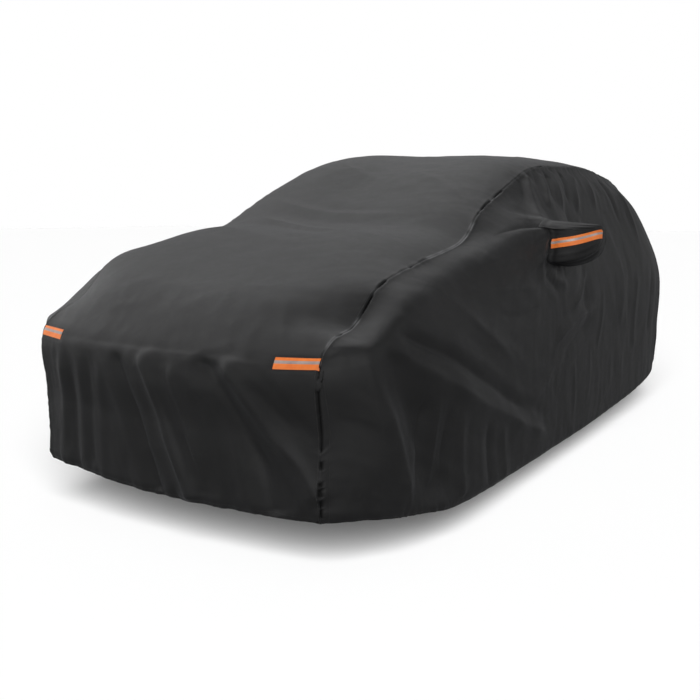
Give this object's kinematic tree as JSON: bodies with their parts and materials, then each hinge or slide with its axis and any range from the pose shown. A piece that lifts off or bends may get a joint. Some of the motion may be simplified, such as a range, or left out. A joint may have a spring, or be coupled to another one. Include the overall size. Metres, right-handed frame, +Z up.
{
  "type": "fitted car cover",
  "caption": "Fitted full car cover in dark woven cloth: centre panel, side panels, ear-shaped mirror pockets and orange reflective strips, hanging in the folds it takes over a hatchback.",
  "frame": {"origin": "underside of the roof crown, on the centre line, where a car's roof carries the cover", "axes": "+Z up, -Y to the front of the car, +X to the cover's right side in the picture; +Y is the long axis"},
  "size_m": [2.2184, 4.4836, 1.528],
  "materials": {
    "cover_cloth": "dark charcoal coated polyester, fine plain weave, soft sheen",
    "pocket_cloth": "same cloth, sewn as a pocket",
    "reflective_strip": "orange tape with a silver-grey reflective band"
  },
  "bodies": {
    "root": {"centre_panel": "cover_cloth", "side_panel_right": "cover_cloth", "side_panel_left": "cover_cloth", "mirror_pocket_right": "pocket_cloth", "mirror_pocket_left": "pocket_cloth", "strip_front_right": "reflective_strip", "strip_front_left": "reflective_strip", "strip_mirror_right": "reflective_strip", "strip_mirror_left": "reflective_strip"}
  },
  "joints": []
}
